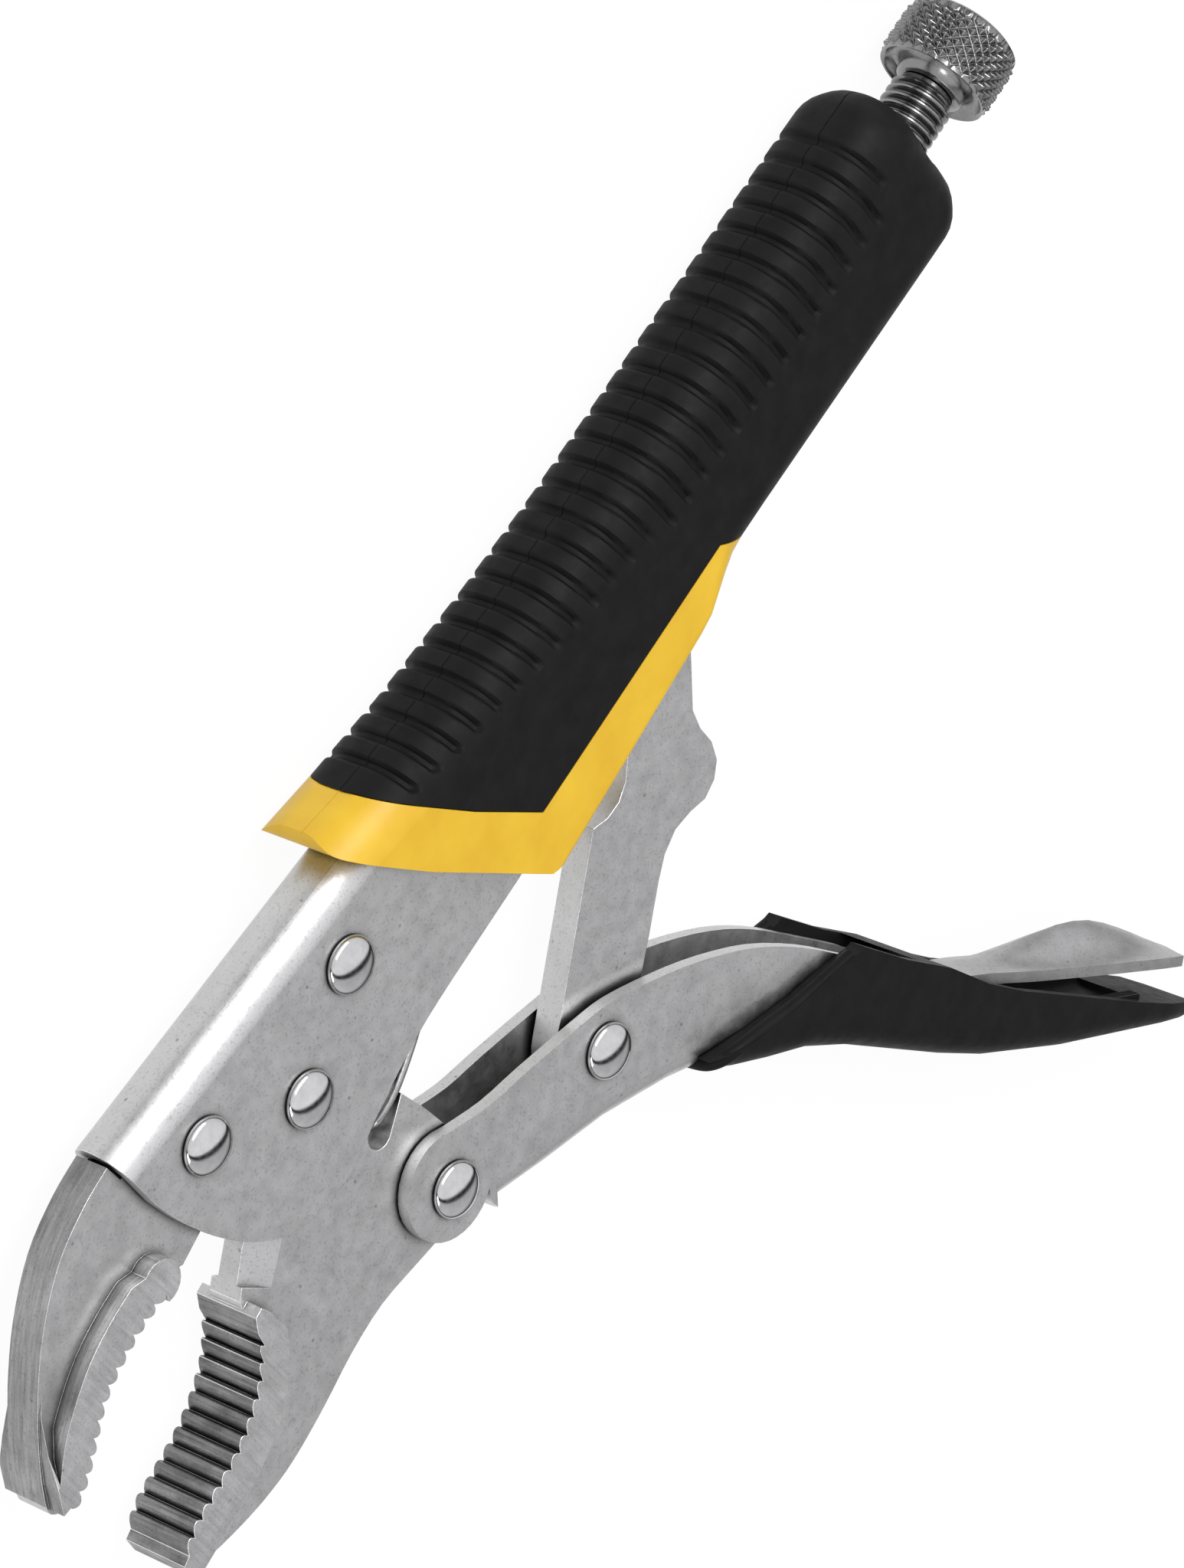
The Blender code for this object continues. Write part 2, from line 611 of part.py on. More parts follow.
GRIP_TOP = [(-46.0, 23.9), (-38.0, 22.7), (-30.6, 21.2), (-14.0, 18.7), (6.0, 16.8), (24.0, 15.8),
            (90.0, 14.9), (99.6, 14.6)]
GRIP_BOTTOM = [(-46.0, -17.4), (-14.0, -16.6), (2.0, -15.4), (19.0, -14.2), (30.0, -13.9), (45.0, -14.0),
               (90.0, -15.0), (99.6, -15.1)]
LINER_FRONT = [(-40.2, 24.0), (-38.4, 19.4), (-35.0, 13.2), (-31.0, 6.1), (-24.3, -4.3), (-16.4, -16.6)]
COVER_EDGE = [(-33.4, 24.0), (-29.6, 20.8), (-24.9, 13.4), (-20.0, 5.0), (-12.4, -6.4), (34.0, -6.4),
              (42.6, -15.2)]


def grip_ring(x, shrink=0.0):
    """Rounded rectangle section of the upper grip's outer surface."""
    half = GRIP_HALF - shrink
    top = interpolate(GRIP_TOP, x) - shrink
    bottom = interpolate(GRIP_BOTTOM, x) + shrink
    high = min(GRIP_CORNER, half - 0.4)
    low = min(lerp(1.2, GRIP_CORNER, smoothstep(24.0, 38.0, x)), half - 0.4)
    ring = []
    corners = [(half - high, top - high, high, 0.0), (high - half, top - high, high, 90.0),
               (low - half, bottom + low, low, 180.0), (half - low, bottom + low, low, 270.0)]
    for z0, y0, corner, start in corners:
        for z, y in arc((z0, y0), corner, start, start + 90.0, 7):
            ring.append((x, y, z))
    return ring


def grip_block():
    stations = [-46.0, -38.0, -30.0, -14.0, 6.0, 19.0, 24.0, 27.0, 30.0, 33.0, 36.0, 38.0, 46.0, 70.0, 93.0]
    rings = [grip_ring(x) for x in stations]
    for x, shrink in ((96.6, 0.9), (98.6, 2.4), (GRIP_REAR_X, 4.6)):
        rings.append(grip_ring(x, shrink))
    return loft(rings)


def grip_room():
    """The space that the fixed handle takes inside the grip, open downwards at the front."""
    stations = [-60.0, -38.0, -14.0] + [lerp(-12.0, 20.0, i / 5) for i in range(6)]
    rings = []
    for x in stations + [27.0, 34.0, 38.0, GRIP_CLOSED_X]:
        rings.append([(x, y, z) for z, y in channel_path(x, -SEAT, -40.0)])
    for x in (46.0, 52.0, 58.0, 62.0, 66.0, 110.0):
        rings.append([(x, y, z) for z, y in channel_path(x, -SEAT)])
    return loft(rings)


def liner_side_view():
    front = curve_through(LINER_FRONT, 3)
    return front + [(-14.8, -18.0), (50.0, -18.0), (50.0, 40.0), (-40.0, 40.0)]


def cover_side_view(grow):
    edge = [(x - grow, y - grow) for x, y in COVER_EDGE]
    return edge + [(43.0 - grow, -30.0), (110.0, -30.0), (110.0, 40.0), (-36.0 - grow, 40.0)]


def build_grip_liner(mat):
    liner = new_object("grip_liner", grip_block(), mat)
    boolean(liner, grip_room(), "DIFFERENCE")
    boolean(liner, prism(liner_side_view(), -20.0, 20.0), "INTERSECT")
    boolean(liner, prism(cover_side_view(SEAT), -30.0, 30.0), "DIFFERENCE")
    return liner


def build_grip_cover(mat):
    cover = new_object("grip_cover", grip_block(), mat)
    boolean(cover, grip_room(), "DIFFERENCE")
    boolean(cover, prism(cover_side_view(0.0), -20.0, 20.0), "INTERSECT")
    return cover


# ---------------------------------------------------------------- assembly

def main():
    clear_scene()
    steel = material("plated_steel", (0.42, 0.42, 0.41), 0.42, 0.9)
    forged = material("forged_steel", (0.38, 0.38, 0.37), 0.45, 0.9)
    dark = material("dark_nickel", (0.16, 0.16, 0.16), 0.3, 1.0)
    polished = material("polished_steel", (0.55, 0.55, 0.54), 0.22, 1.0)
    wire = material("spring_steel", (0.2, 0.2, 0.2), 0.35, 1.0)
    black = material("black_rubber", (0.018, 0.018, 0.018), 0.65, 0.0)
    yellow = material("yellow_plastic", (0.86, 0.5, 0.05), 0.45, 0.0)

    pieces = [
        build_frame(steel), build_upper_jaw(forged), build_lower_jaw(forged), build_lever(steel),
        build_toggle_link(steel), build_release_lever(steel), build_lever_grip(black),
        build_rivet("front_jaw_rivet", JAW_RIVET_FRONT, polished),
        build_rivet("rear_jaw_rivet", JAW_RIVET_REAR, polished),
        build_rivet("jaw_pivot_rivet", JAW_PIVOT, polished),
        build_rivet("lever_pivot_rivet", LEVER_PIVOT, polished),
        build_rivet("link_pivot_rivet", LINK_PIVOT, polished),
        build_release_pin(dark), build_screw(dark), build_knob(dark), build_spring(wire),
        build_grip_liner(yellow), build_grip_cover(black),
    ]
    pivots = {"lower_jaw": JAW_PIVOT, "lever": LEVER_PIVOT, "toggle_link": LINK_PIVOT,
              "release_lever": RELEASE_PIVOT}
    for obj in list(bpy.data.objects):
        obj.location = Vector(SHIFT) * MM
    for obj in pieces:
        if obj.name in pivots:
            place = Vector((*pivots[obj.name], 0.0)) * MM
            for vert in obj.data.vertices:
                vert.co = vert.co - place
            obj.location = obj.location + place


main()
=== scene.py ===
"""Looks for the locking pliers: detailed pieces, materials, light and camera.

Lengths are in millimetres in the tool's own frame, which has the screw along X through the
origin and the tool's middle plane at Z = 0. to_world() puts them in the frame of the CAD.
"""
import math

import bmesh
import bpy
from mathutils import Matrix, Vector


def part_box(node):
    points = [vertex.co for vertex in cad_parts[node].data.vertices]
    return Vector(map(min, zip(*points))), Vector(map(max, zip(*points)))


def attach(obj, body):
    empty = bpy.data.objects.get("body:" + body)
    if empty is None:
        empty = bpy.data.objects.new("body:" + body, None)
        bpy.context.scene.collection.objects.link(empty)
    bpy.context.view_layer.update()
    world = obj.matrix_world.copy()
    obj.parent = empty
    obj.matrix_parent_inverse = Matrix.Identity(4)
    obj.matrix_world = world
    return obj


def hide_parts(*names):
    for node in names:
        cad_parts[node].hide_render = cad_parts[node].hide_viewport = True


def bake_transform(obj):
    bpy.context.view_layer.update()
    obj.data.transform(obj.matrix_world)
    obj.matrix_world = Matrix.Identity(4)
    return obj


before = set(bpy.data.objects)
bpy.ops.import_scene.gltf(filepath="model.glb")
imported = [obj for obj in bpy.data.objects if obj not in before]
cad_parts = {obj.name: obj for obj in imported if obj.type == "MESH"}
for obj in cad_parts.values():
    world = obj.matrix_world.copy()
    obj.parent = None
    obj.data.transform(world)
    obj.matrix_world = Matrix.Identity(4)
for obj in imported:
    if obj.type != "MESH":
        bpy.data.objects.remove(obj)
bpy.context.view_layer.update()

MM = 0.001
KNOB_FACE_X = 119.4                # the knob's end face, from which the tool's origin follows
knob_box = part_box("knurled_knob")
ORIGIN = Vector((knob_box[1].x - KNOB_FACE_X * MM, 0.5 * (knob_box[0].y + knob_box[1].y),
                 0.5 * (knob_box[0].z + knob_box[1].z)))


# ---------------------------------------------------------------- helpers

def to_world(point):
    return ORIGIN + Vector(point) * MM


def lerp(a, b, t):
    return a + (b - a) * t


def smoothstep(a, b, x):
    t = min(1.0, max(0.0, (x - a) / (b - a)))
    return t * t * (3.0 - 2.0 * t)


def object_from(name, bm, materials, body, angle=35.0):
    """An object from a bmesh in millimetres; it rides on a body of the CAD, if one is given."""
    bmesh.ops.recalc_face_normals(bm, faces=bm.faces)
    for vert in bm.verts:
        vert.co = to_world(vert.co)
    mesh = bpy.data.meshes.new(name)
    bm.to_mesh(mesh)
    bm.free()
    mesh.shade_smooth()
    mesh.set_sharp_from_angle(angle=math.radians(angle))
    for mat in materials:
        mesh.materials.append(mat)
    obj = bpy.data.objects.new(name, mesh)
    bpy.context.scene.collection.objects.link(obj)
    if body is not None:
        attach(obj, body)
    return obj


def bevelled(obj, width, segments, slot):
    """Break the sharp edges of an object; the broken edges take the material of a slot."""
    bevel = obj.modifiers.new("edges", "BEVEL")
    bevel.width = width * MM
    bevel.segments = segments
    bevel.limit_method = "ANGLE"
    bevel.angle_limit = math.radians(32.0)
    bevel.miter_outer = "MITER_ARC"
    bevel.material = slot
    obj.modifiers.new("normals", "WEIGHTED_NORMAL").keep_sharp = True


def dressed(node, body, materials, width, segments=2, special=None):
    """A copy of a CAD node with broken edges that stands for it.

    The second material goes on the broken edges; `special` picks the slot of every other face.
    """
    bm = bmesh.new()
    bm.from_mesh(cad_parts[node].data)
    bmesh.ops.remove_doubles(bm, verts=bm.verts, dist=0.002 * MM)
    bmesh.ops.dissolve_limit(bm, angle_limit=math.radians(0.6), verts=bm.verts, edges=bm.edges)
    for vert in bm.verts:
        vert.co = (vert.co - ORIGIN) / MM
    bm.normal_update()
    if special is not None:
        for face in bm.faces:
            face.material_index = special(face.calc_center_median(), face.normal)
    obj = object_from(node + "_finished", bm, materials, body)
    bevelled(obj, width, segments, 1 if len(materials) > 1 else -1)
    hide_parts(node)


# ---------------------------------------------------------------- materials

class Nodes:
    """Short way to build a node tree for one material."""

    def __init__(self, name):
        self.material = bpy.data.materials.new(name)
        self.material.use_nodes = True
        self.tree = self.material.node_tree
        self.shader = self.tree.nodes["Principled BSDF"]
        self.coords = self.tree.nodes.new("ShaderNodeTexCoord").outputs["Object"]

    def link(self, output, target):
        self.tree.links.new(output, target)

    def noise(self, scale, detail=3.0, roughness=0.55, stretch=(1.0, 1.0, 1.0)):
        mapping = self.tree.nodes.new("ShaderNodeMapping")
        mapping.inputs["Scale"].default_value = stretch
        self.link(self.coords, mapping.inputs["Vector"])
        node = self.tree.nodes.new("ShaderNodeTexNoise")
        node.inputs["Scale"].default_value = scale
        node.inputs["Detail"].default_value = detail
        node.inputs["Roughness"].default_value = roughness
        self.link(mapping.outputs["Vector"], node.inputs["Vector"])
        return node.outputs["Fac"]

    def voronoi(self, scale):
        node = self.tree.nodes.new("ShaderNodeTexVoronoi")
        node.inputs["Scale"].default_value = scale
        self.link(self.coords, node.inputs["Vector"])
        return node.outputs["Distance"]

    def ramp(self, value, stops):
        node = self.tree.nodes.new("ShaderNodeValToRGB")
        while len(node.color_ramp.elements) < len(stops):
            node.color_ramp.elements.new(0.5)
        for element, (place, colour) in zip(node.color_ramp.elements, stops):
            element.position = place
            if not isinstance(colour, tuple):
                colour = (colour, colour, colour)
            element.color = (*colour, 1.0)
        self.link(value, node.inputs["Fac"])
        return node.outputs["Color"]

    def mix(self, factor, a, b, blend="MIX"):
        node = self.tree.nodes.new("ShaderNodeMix")
        node.data_type = "RGBA"
        node.blend_type = blend
        for value, socket in ((factor, node.inputs[0]), (a, node.inputs[6]), (b, node.inputs[7])):
            if isinstance(value, bpy.types.NodeSocket):
                self.link(value, socket)
            elif isinstance(value, tuple):
                socket.default_value = (*value, 1.0)
            else:
                socket.default_value = value
        return node.outputs[2]

    def crevice(self, distance, low, high):
        """A mask for painted shade: 0 deep in a corner, 1 in the open."""
        node = self.tree.nodes.new("ShaderNodeAmbientOcclusion")
        node.samples = 6
        node.inputs["Distance"].default_value = distance * MM
        return self.ramp(node.outputs["AO"], [(low, 0.0), (high, 1.0)])

    def bump(self, height, strength, distance):
        node = self.tree.nodes.new("ShaderNodeBump")
        node.inputs["Strength"].default_value = strength
        node.inputs["Distance"].default_value = distance * MM
        self.link(height, node.inputs["Height"])
        if self.shader.inputs["Normal"].is_linked:
            self.link(self.shader.inputs["Normal"].links[0].from_socket, node.inputs["Normal"])
        self.link(node.outputs["Normal"], self.shader.inputs["Normal"])


def steel(name, light, dark, rough_low, rough_high, grain=0.25, grain_size=0.35, streaks=0.0,
          lay=(1.0, 1.0, 0.04)):
    """Satin plated steel: cloudy tone, fine grain, dark pits, and painted shade in the corners.

    `streaks` sets how strong the machining lines are; `lay` shrinks the axis they run along.
    """
    n = Nodes(name)
    clouds = n.ramp(n.noise(140.0, 4.0, 0.6), [(0.3, dark), (0.7, light)])
    specks = n.ramp(n.noise(2600.0, 2.0), [(0.3, 0.6), (0.45, 1.0)])
    pits = n.ramp(n.voronoi(230.0), [(0.035, 0.25), (0.08, 1.0)])
    tone = n.mix(0.6, clouds, specks, "MULTIPLY")
    tone = n.mix(0.55, tone, pits, "MULTIPLY")
    if streaks > 0.0:
        lines = n.ramp(n.noise(1500.0, 3.0, 0.7, lay), [(0.32, 0.35), (0.6, 1.0)])
        tone = n.mix(streaks, tone, lines, "MULTIPLY")
    # Painted shade: near black mixed into the tone in corners and crevices, from the ambient-occlusion mask.
    tone = n.mix(n.crevice(1.6, 0.30, 0.92), (0.05, 0.048, 0.045), tone)
    n.link(tone, n.shader.inputs["Base Color"])
    n.shader.inputs["Metallic"].default_value = 1.0
    rough = n.ramp(n.noise(420.0, 3.0), [(0.3, rough_low), (0.7, rough_high)])
    n.link(rough, n.shader.inputs["Roughness"])
    n.bump(n.noise(1000.0 / grain_size, 3.0, 0.7), grain, 0.05)
    return n.material


def polished(name, tone, roughness):
    """Bright metal with faint smudges, and painted shade that makes it black at the bottom of its grooves.
    """
    n = Nodes(name)
    smudge_and_shade = n.ramp(n.noise(700.0, 3.0), [(0.3, tone * 0.86), (0.7, tone)])
    # Painted shade: near black at the bottom of grooves, from the ambient-occlusion mask.
    smudge_and_shade = n.mix(n.crevice(1.0, 0.25, 0.95), (0.015, 0.015, 0.014), smudge_and_shade)
    n.link(smudge_and_shade, n.shader.inputs["Base Color"])
    n.shader.inputs["Metallic"].default_value = 1.0
    rough = n.ramp(n.noise(1500.0, 3.0), [(0.35, roughness * 0.7), (0.7, roughness * 1.4)])
    n.link(rough, n.shader.inputs["Roughness"])
    n.bump(n.noise(1300.0, 2.0), 0.05, 0.02)
    return n.material


def rubber(name):
    """Moulded black rubber with a very fine matt grain and dull scuffs."""
    n = Nodes(name)
    tone = n.ramp(n.noise(260.0, 4.0), [(0.3, (0.004, 0.004, 0.004)), (0.75, (0.008, 0.0077, 0.0074))])
    n.link(tone, n.shader.inputs["Base Color"])
    rough = n.ramp(n.noise(500.0, 3.0), [(0.3, 0.5), (0.7, 0.62)])
    n.link(rough, n.shader.inputs["Roughness"])
    n.shader.inputs["Specular IOR Level"].default_value = 0.12
    n.bump(n.noise(5200.0, 2.0), 0.2, 0.04)
    return n.material


def yellow_plastic(name):
    n = Nodes(name)
    tone = n.ramp(n.noise(120.0, 3.0), [(0.3, (0.55, 0.325, 0.010)), (0.7, (0.61, 0.385, 0.017))])
    n.link(tone, n.shader.inputs["Base Color"])
    n.shader.inputs["Roughness"].default_value = 0.42
    n.shader.inputs["Subsurface Weight"].default_value = 0.06
    n.shader.inputs["Subsurface Radius"].default_value = (0.004, 0.002, 0.001)
    n.shader.inputs["Specular IOR Level"].default_value = 0.45
    n.bump(n.noise(900.0, 3.0), 0.08, 0.05)
    return n.material


# ---------------------------------------------------------------- solids

def interpolate(table, x):
    for (x0, v0), (x1, v1) in zip(table, table[1:]):
        if x <= x1:
            return lerp(v0, v1, max(0.0, (x - x0) / (x1 - x0)))
    return table[-1][1]


def curve_through(points, steps):
    """A smooth open curve through given points (Catmull-Rom)."""
    padded = [points[0]] + list(points) + [points[-1]]
    result = []
    for i in range(1, len(padded) - 2):
        p0, p1, p2, p3 = (Vector(p) for p in padded[i - 1:i + 3])
        for k in range(steps):
            t = k / steps
            a = 2.0 * p1 + (p2 - p0) * t
            b = (2.0 * p0 - 5.0 * p1 + 4.0 * p2 - p3) * t ** 2
            c = (3.0 * p1 - p0 - 3.0 * p2 + p3) * t ** 3
            result.append(tuple(0.5 * (a + b + c)))
    result.append(tuple(points[-1]))
    return result


def prism(outline, low, high):
    bm = bmesh.new()
    face = bm.faces.new([bm.verts.new((x, y, low)) for x, y in outline])
    top = bmesh.ops.extrude_face_region(bm, geom=[face])["geom"]
    raised = [v for v in top if isinstance(v, bmesh.types.BMVert)]
    bmesh.ops.translate(bm, verts=raised, vec=(0.0, 0.0, high - low))
    return bm


def loft(rings):
    """A closed bmesh through rings of equal length, capped at both ends."""
    bm = bmesh.new()
    rows = [[bm.verts.new(p) for p in ring] for ring in rings]
    count = len(rows[0])
    for low, high in zip(rows, rows[1:]):
        for i in range(count):
            j = (i + 1) % count
            bm.faces.new((low[i], low[j], high[j], high[i]))
    bm.faces.new(list(reversed(rows[0])))
    bm.faces.new(rows[-1])
    return bm


def swept(route, radius, sides):
    """A round bar along a route of points."""
    rings = []
    normal = Vector((0.0, 0.0, 1.0))
    for i, here in enumerate(route):
        ahead = Vector(route[min(i + 1, len(route) - 1)]) - Vector(route[max(i - 1, 0)])
        ahead.normalize()
        normal = (normal - ahead * normal.dot(ahead)).normalized()
        other = ahead.cross(normal)
        ring = []
        for k in range(sides):
            angle = 2.0 * math.pi * k / sides
            ring.append(tuple(Vector(here) + (normal * math.cos(angle) + other * math.sin(angle)) * radius))
        rings.append(ring)
    return loft(rings)


def skin(bm, rings, segments):
    """Faces between rings of vertices; a ring may be a single point."""
    for low, high in zip(rings, rings[1:]):
        for i in range(segments):
            j = (i + 1) % segments
            corners = [low[i % len(low)], low[j % len(low)], high[j % len(high)], high[i % len(high)]]
            unique = list(dict.fromkeys(corners))
            if len(unique) > 2:
                bm.faces.new(unique)


def turned(profile, segments, centre):
    """A solid of revolution about Z from (radius, height) pairs; both ends lie on the axis."""
    bm = bmesh.new()
    rings = []
    for radius, height in profile:
        ring = []
        for i in range(segments if radius > 1e-6 else 1):
            angle = 2.0 * math.pi * i / segments
            x = centre[0] + radius * math.cos(angle)
            y = centre[1] + radius * math.sin(angle)
            ring.append(bm.verts.new((x, y, height)))
        rings.append(ring)
    skin(bm, rings, segments)
    return bm


def mesh_of(bm):
    """A mesh in the tool's own millimetres, for cutting and joining."""
    bmesh.ops.recalc_face_normals(bm, faces=bm.faces)
    mesh = bpy.data.meshes.new("solid")
    bm.to_mesh(mesh)
    bm.free()
    return mesh


def combine(base, steps):
    """The bmesh left after joining to or cutting from a base solid, step by step."""
    obj = bpy.data.objects.new("base", mesh_of(base))
    bpy.context.scene.collection.objects.link(obj)
    tools = []
    for operation, bm in steps:
        tool = bpy.data.objects.new("tool", mesh_of(bm))
        bpy.context.scene.collection.objects.link(tool)
        tools.append(tool)
        modifier = obj.modifiers.new("cut", "BOOLEAN")
        modifier.operation = operation
        modifier.solver = "EXACT"
        modifier.object = tool
    bpy.context.view_layer.update()
    result = bmesh.new()
    result.from_mesh(obj.evaluated_get(bpy.context.evaluated_depsgraph_get()).to_mesh())
    for done in tools + [obj]:
        bpy.data.objects.remove(done, do_unlink=True)
    return result


# ---------------------------------------------------------------- upper grip

GRIP_HALF = 9.5
GRIP_CORNER = 8.0
GRIP_FRONT_X, GRIP_BACK_X = -46.0, 93.0
END_LENGTH, END_SHRINK = 6.6, 5.4  # the rounded end behind GRIP_BACK_X
SEAT = 0.12                        # room between pieces that sit in each other
HEAD_HALF = 5.3                    # half the thickness of the steel at the head
HANDLE_HALF = 7.4                  # and of the handle behind it
ARC_STEPS, SIDE_STEPS = 12, 8      # steps over the channel's spine and down each side
SPINE_TOP = [(-96.0, 21.2), (60.0, 7.55), (64.0, 7.4), (120.0, 7.4)]
CHANNEL_BOTTOM = [(-96.0, -22.0), (-20.0, -22.0), (8.0, -15.0), (40.0, -9.0), (120.0, -9.0)]
GRIP_TOP = [(-46.0, 23.9), (-38.0, 22.7), (-30.6, 21.2), (-14.0, 18.7), (6.0, 16.8), (24.0, 15.8),
            (90.0, 14.9), (99.6, 14.6)]
GRIP_BOTTOM = [(-46.0, -17.4), (-14.0, -16.6), (2.0, -15.4), (19.0, -14.2), (30.0, -13.9), (45.0, -14.0),
               (90.0, -15.0), (99.6, -15.1)]
LINER_FRONT = [(-35.6, 24.2), (-37.6, 22.9), (-38.9, 21.7), (-38.9, 20.3), (-37.6, 17.8), (-35.0, 13.2),
               (-31.0, 6.1), (-24.3, -4.3), (-17.9, -14.2), (-16.9, -15.3), (-15.2, -16.1), (-12.6, -17.6)]
COVER_EDGE = [(-33.4, 24.0), (-29.6, 20.8), (-24.9, 13.4), (-20.0, 5.0), (-12.4, -6.4), (34.0, -6.4),
              (42.6, -15.2)]
RIB_FIRST_X, RIB_LAST_X = -24.5, 88.0
RIB_REACH = [(-24.5, 4.4), (-10.0, 6.2), (10.0, 8.4), (25.0, 9.8), (28.0, 12.2), (60.0, 12.6), (84.0, 12.4),
             (88.0, 8.6)]
RIB_COUNT = 28
RIB_DEPTH = 0.8
RIB_LEAN = 0.05
FLANK_STEPS = 24
FRONT_ROUND = 1.3


def channel_path(x, inset, bottom_limit=None):
    """Section of the steel handle inside the grip, as an open path of (z, y)."""
    outer = lerp(HEAD_HALF, HANDLE_HALF, smoothstep(-12.0, 20.0, x))
    half = outer - inset
    centre = interpolate(SPINE_TOP, x) - outer
    bottom = interpolate(CHANNEL_BOTTOM, x) if bottom_limit is None else bottom_limit
    curl = smoothstep(34.0, 66.0, x)
    path = []
    for i in range(-ARC_STEPS - SIDE_STEPS, ARC_STEPS + SIDE_STEPS + 1):
        side, step = (-1.0 if i < 0 else 1.0), abs(i)
        if step <= ARC_STEPS:
            tube_angle = math.radians(90.0 / ARC_STEPS * step)
            flat = (half * math.sin(tube_angle), centre + half * math.cos(tube_angle))
        else:
            part = (step - ARC_STEPS) / SIDE_STEPS
            tube_angle = math.radians(lerp(90.0, 172.0, part))
            flat = (half, lerp(centre, bottom, part))
        tube = (half * math.sin(tube_angle), half * math.cos(tube_angle))
        path.append((side * lerp(flat[0], tube[0], curl), lerp(flat[1], tube[1], curl)))
    return path


def grip_room():
    """What the steel handle takes up inside the grip: an open channel that curls into a tube."""
    rings = []
    widening = [lerp(-12.0, 20.0, i / 5) for i in range(6)]
    for x in [-60.0, -38.0, -14.0] + widening + [27.0, 34.0, 38.0, 43.0]:
        rings.append([(x, y, z) for z, y in channel_path(x, -SEAT, -40.0)])
    for x in (46.0, 52.0, 58.0, 62.0, 66.0, 110.0):
        rings.append([(x, y, z) for z, y in channel_path(x, -SEAT)])
    return loft(rings)


def rib_slot(x, y, top):
    """Depth of the slots between the ribs: narrow grooves from the spine down to the flank."""
    pitch = (RIB_LAST_X - RIB_FIRST_X) / (RIB_COUNT - 1)
    place = (x - RIB_FIRST_X) / pitch
    nearest = round(place)
    if nearest < 0 or nearest > RIB_COUNT - 1:
        return 0.0
    slot_x = RIB_FIRST_X + nearest * pitch
    reach = interpolate(RIB_REACH, slot_x)
    drop = top - y
    across = abs(x - slot_x - RIB_LEAN * drop)
    groove = 1.0 - smoothstep(0.3, 0.95, across)
    return RIB_DEPTH * groove * (1.0 - smoothstep(reach - 0.7, reach, drop))


def grip_ring(x, shrink, ribs):
    """One section of the grip: rounded corners, a parting line on the spine and fine flanks."""
    half = GRIP_HALF - shrink
    top = interpolate(GRIP_TOP, x) - shrink
    bottom = interpolate(GRIP_BOTTOM, x) + shrink
    high = min(GRIP_CORNER, half - 0.4)
    low = min(lerp(1.2, GRIP_CORNER, smoothstep(24.0, 38.0, x)), half - 0.4)
    ring = []

    def put(z, y, out_z, out_y):
        cut = rib_slot(x, y, top) if ribs else 0.0
        ring.append((x, y - out_y * cut, z - out_z * cut))

    corners = [(half - high, top - high, high, 0.0), (high - half, top - high, high, 90.0),
               (low - half, bottom + low, low, 180.0), (half - low, bottom + low, low, 270.0)]
    for k, (z0, y0, corner, start) in enumerate(corners):
        steps = 24 if k < 2 else 12
        for i in range(steps + 1):
            angle = math.radians(start + 90.0 * i / steps)
            across, up = math.cos(angle), math.sin(angle)
            put(z0 + corner * across, y0 + corner * up, across, up)
        if k == 0:
            ring.append((x, ring[-1][1] - 0.3, z0 - 0.14))
            put(z0 - 0.28, top, 0.0, 1.0)
        if k == 1:
            for i in range(1, FLANK_STEPS):
                put(-half, lerp(y0, bottom + low, i / FLANK_STEPS), -1.0, 0.0)
        if k == 3:
            for i in range(1, FLANK_STEPS):
                put(half, lerp(y0, top - high, i / FLANK_STEPS), 1.0, 0.0)
    return ring


def grip_block(step, ribs):
    rings = []
    length = GRIP_BACK_X - GRIP_FRONT_X
    count = int(length / step)
    for i in range(count + 1):
        rings.append(grip_ring(GRIP_FRONT_X + length * i / count, 0.0, ribs))
    for i in range(1, 9):
        angle = math.radians(90.0 * i / 8.0)
        x = GRIP_BACK_X + END_LENGTH * math.sin(angle)
        rings.append(grip_ring(x, END_SHRINK * (1.0 - math.cos(angle)), False))
    return loft(rings)


def build_grip_cover():
    edge = prism(COVER_EDGE + [(43.0, -30.0), (110.0, -30.0), (110.0, 40.0), (-36.0, 40.0)], -20.0, 20.0)
    bm = combine(grip_block(0.3, True), [("DIFFERENCE", grip_room()), ("INTERSECT", edge)])
    cover = object_from("grip_cover_ribbed", bm, [black], "fixed_handle", 40.0)
    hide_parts("grip_cover")


def build_grip_liner():
    outline = curve_through(LINER_FRONT, 4) + [(50.0, -18.0), (50.0, 40.0), (-34.0, 40.0)]
    edge = [(x - SEAT, y - SEAT) for x, y in COVER_EDGE]
    edge += [(43.0 - SEAT, -30.0), (110.0, -30.0), (110.0, 40.0), (-36.0 - SEAT, 40.0)]
    bm = combine(grip_block(3.0, False), [("DIFFERENCE", grip_room()),
                                          ("INTERSECT", prism(outline, -20.0, 20.0)),
                                          ("DIFFERENCE", prism(edge, -30.0, 30.0))])
    bmesh.ops.dissolve_limit(bm, angle_limit=math.radians(2.0), verts=bm.verts, edges=bm.edges)
    liner = object_from("grip_liner_moulded", bm, [yellow], "fixed_handle", 40.0)
    round_front(liner)
    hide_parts("grip_liner")


